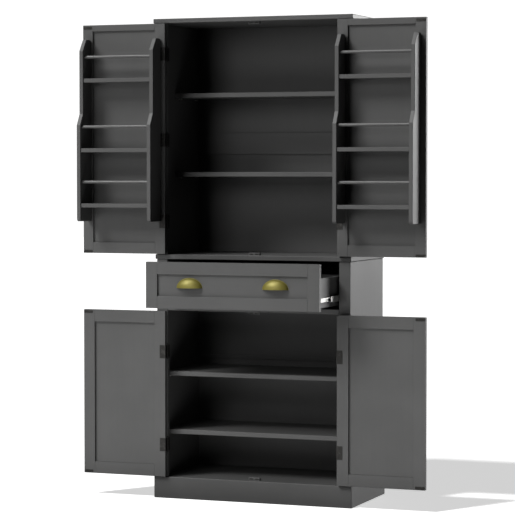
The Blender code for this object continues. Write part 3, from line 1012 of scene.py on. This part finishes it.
class PANTRY_OT_catches(bpy.types.Operator):
    """Fit the magnetic catches in the middle of each opening"""
    bl_idname = "pantry.catches"
    bl_label = "Catches"

    def execute(self, context):
        wall, inner, outer = 0.0018, 0.0022, 0.0190      # housing's wall and the pockets' near and far sides
        for node in ("catch_upper_top", "catch_upper_bottom", "catch_lower_top", "catch_lower_bottom"):
            low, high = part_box(node)
            housing = block(f"{node}_housing", low, high)

            def pockets():
                for x in (-outer, -inner, inner, outer):
                    cut((x, 0, 0), X)
                for z in (low.z + wall, high.z - wall):
                    cut((0, 0, z), Z)
                choose(housing, "FACE", lambda c, n: n.y < -0.9 and inner < abs(c.x) < outer
                       and low.z + wall < c.z < high.z - wall)
                bpy.ops.mesh.inset(thickness=0.0002, depth=0)
                draw_out((0, 0.0020, 0))
            shaped(housing, pockets)
            eased(housing, 0.0006, 2, 50)
            fitted(housing, "catch_plastic", "carcass", node)
            plates = []
            for sign in (-1, 1):
                plate = block("plate", (sign * 0.0106 - 0.0080, low.y - 0.0005, low.z + 0.0022),
                              (sign * 0.0106 + 0.0080, low.y + 0.0019, high.z - 0.0022))
                plates.append(eased(bordered(plate, lambda c, n: n.y < -0.9, 0.0007, 0.0001), 0.0003, 2))
            plates[0].name = f"{node}_pole_plates"
            fitted(joined(*plates), "blackened_steel", "carcass")
        return {"FINISHED"}


class PANTRY_OT_rods(bpy.types.Operator):
    """Turn the dowels that keep things on the door racks"""
    bl_idname = "pantry.rods"
    bl_label = "Rack Rods"

    def execute(self, context):
        for side in SIDES:
            for number in (1, 2, 3):
                node = f"{side}_rack_rod_{number}"
                low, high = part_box(node)
                centre = (low + high) / 2
                radius, length = (high.z - low.z) / 2, high.x - low.x
                neck = radius - 0.0006
                profile = [(neck, -0.004), (neck, 0.0002), (radius - 0.0003, 0.0004), (radius, 0.0012),
                           (radius, length - 0.0012), (radius - 0.0003, length - 0.0004),
                           (neck, length - 0.0002), (neck, length + 0.004)]
                rod = smoothed(turned(f"{node}_dowel", (low.x, centre.y, centre.z), X, profile, 32), 40)
                fitted(rod, "charcoal_paint_turned", f"upper_{side}_door", node)
        return {"FINISHED"}


# ---------------------------------------------------------------- stage

class PANTRY_OT_stage(bpy.types.Operator):
    """Lay the floor, hang the lamps and place the camera"""
    bl_idname = "pantry.stage"
    bl_label = "Studio"

    SEEN_SKY = 1.1

    def execute(self, context):
        settings = context.scene.pantry_stage
        context.scene.view_settings.view_transform = "Standard"
        deselect()
        bpy.ops.mesh.primitive_plane_add(size=60, location=(0, 0, 0))
        floor = settle(context.object)
        floor.name = "studio_floor"
        floor.data.materials.append(bpy.data.materials["pale_floor"])
        floor.visible_diffuse = False
        floor.visible_glossy = False
        shader = floor.data.materials[0].node_tree.nodes["Principled BSDF"]
        shader.inputs["Emission Color"].default_value = (1, 1, 1, 1)
        shader.inputs["Emission Strength"].default_value = settings.glow
        self.sky(context, settings.fill)
        self.lit_apart("rim", "EXCLUDE", (floor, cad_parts["top_panel"]), (
            self.sun("rim", -153, 12, 28, settings.rim),))
        self.lit_apart("top_end", "INCLUDE", (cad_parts["top_panel"],), (
            self.sun("top_end", -153, 0, 6, settings.rim),))
        self.lit_apart("object", "EXCLUDE", (floor,), (
            self.sun("key", 38, 41, 20, settings.key),
            self.sun("top", 42, 62, 30, settings.top),
            self.card("card", (-1.95, -4.0, 0.01), (3.2, 5.0), (-1.95, -4.0, 1.0), settings.card),
            self.card("strip", (0.0, -0.65, 0.01), (3.4, 0.8), (0.0, -0.65, 1.0), settings.strip),
            self.card("high", (-1.2, -5.0, 2.6), (1.5, 1.5), (0.0, 0.0, 1.2), settings.high)))
        self.lit_apart("floor", "INCLUDE", (floor,), (self.sun("floor_key", 30, 55, 4, settings.floor_key),))
        bpy.ops.object.camera_add(location=settings.camera, rotation=(settings.tilt, 0, settings.heading))
        camera = context.object
        camera.data.lens = settings.lens
        camera.data.sensor_width = 36
        camera.data.clip_end = 200
        context.scene.camera = camera
        return {"FINISHED"}

    def sky(self, context, strength):
        """A sky that is white where it is seen and dim where it lights the object."""
        world = bpy.data.worlds.new("studio_sky")
        context.scene.world = world
        world.use_nodes = True
        nodes, links = world.node_tree.nodes, world.node_tree.links
        background = nodes["Background"]
        background.inputs["Color"].default_value = (1, 1, 1, 1)
        paths = nodes.new("ShaderNodeLightPath")
        level = nodes.new("ShaderNodeMapRange")
        level.inputs["To Min"].default_value = strength
        level.inputs["To Max"].default_value = self.SEEN_SKY
        links.new(paths.outputs["Is Camera Ray"], level.inputs["Value"])
        links.new(level.outputs["Result"], background.inputs["Strength"])

    def lit_apart(self, name, state, things, lamps):
        """Let lamps light all but a few things, or those alone; everything still casts its shadow."""
        receivers = bpy.data.collections.new(f"studio_{name}_receivers")
        for thing in things:
            receivers.objects.link(thing)
        for entry in receivers.collection_objects:
            entry.light_linking.link_state = state
        for lamp in lamps:
            lamp.light_linking.receiver_collection = receivers

    def sun(self, name, heading, height, spread, strength):
        """A distant lamp: degrees to the left of the front, degrees up, and its width in degrees."""
        heading, height = math.radians(heading), math.radians(height)
        towards = Vector((-math.sin(heading) * math.cos(height), -math.cos(heading) * math.cos(height),
                          math.sin(height)))
        bpy.ops.object.light_add(type="SUN", location=towards * 8)
        lamp = bpy.context.object
        lamp.name = f"studio_{name}"
        lamp.data.energy = strength
        lamp.data.angle = math.radians(spread)
        lamp.rotation_euler = towards.to_track_quat("Z", "Y").to_euler()
        return lamp

    def card(self, name, place, size, aim, power):
        """A flat lamp, turned towards a point."""
        turn = (Vector(place) - Vector(aim)).to_track_quat("Z", "Y").to_euler()
        bpy.ops.object.light_add(type="AREA", location=place, rotation=turn)
        lamp = bpy.context.object
        lamp.name = f"studio_{name}"
        lamp.data.shape = "RECTANGLE"
        lamp.data.size, lamp.data.size_y = size
        lamp.data.energy = power
        lamp.visible_camera = False
        return lamp


# ---------------------------------------------------------------- panel and registration

OPERATORS = (PANTRY_OT_finishes, PANTRY_OT_boards, PANTRY_OT_doors, PANTRY_OT_drawer, PANTRY_OT_hinges,
             PANTRY_OT_pulls, PANTRY_OT_slides, PANTRY_OT_catches, PANTRY_OT_rods, PANTRY_OT_stage)
SETTINGS = {"pantry_finishes": PantryFinishes, "pantry_sizes": PantrySizes, "pantry_stage": PantryStage}


class PANTRY_PT_sidebar(bpy.types.Panel):
    """Lists the cabinet's pieces and settings"""
    bl_idname = "PANTRY_PT_sidebar"
    bl_label = "Pantry Cabinet"
    bl_space_type = "VIEW_3D"
    bl_region_type = "UI"
    bl_category = "Pantry"

    def draw(self, context):
        for operator in OPERATORS:
            self.layout.operator(operator.bl_idname)
        for name, group in SETTINGS.items():
            column = self.layout.column(align=True)
            for prop in group.__annotations__:
                column.prop(getattr(context.scene, name), prop)


def register():
    for cls in (*SETTINGS.values(), *OPERATORS, PANTRY_PT_sidebar):
        bpy.utils.register_class(cls)
    for name, group in SETTINGS.items():
        setattr(bpy.types.Scene, name, PointerProperty(type=group))


def unregister():
    for name in SETTINGS:
        delattr(bpy.types.Scene, name)
    for cls in reversed((*SETTINGS.values(), *OPERATORS, PANTRY_PT_sidebar)):
        bpy.utils.unregister_class(cls)


def main():
    register()
    for operator in OPERATORS:
        group, action = operator.bl_idname.split(".")
        getattr(getattr(bpy.ops, group), action)()


if __name__ == "__main__":
    main()
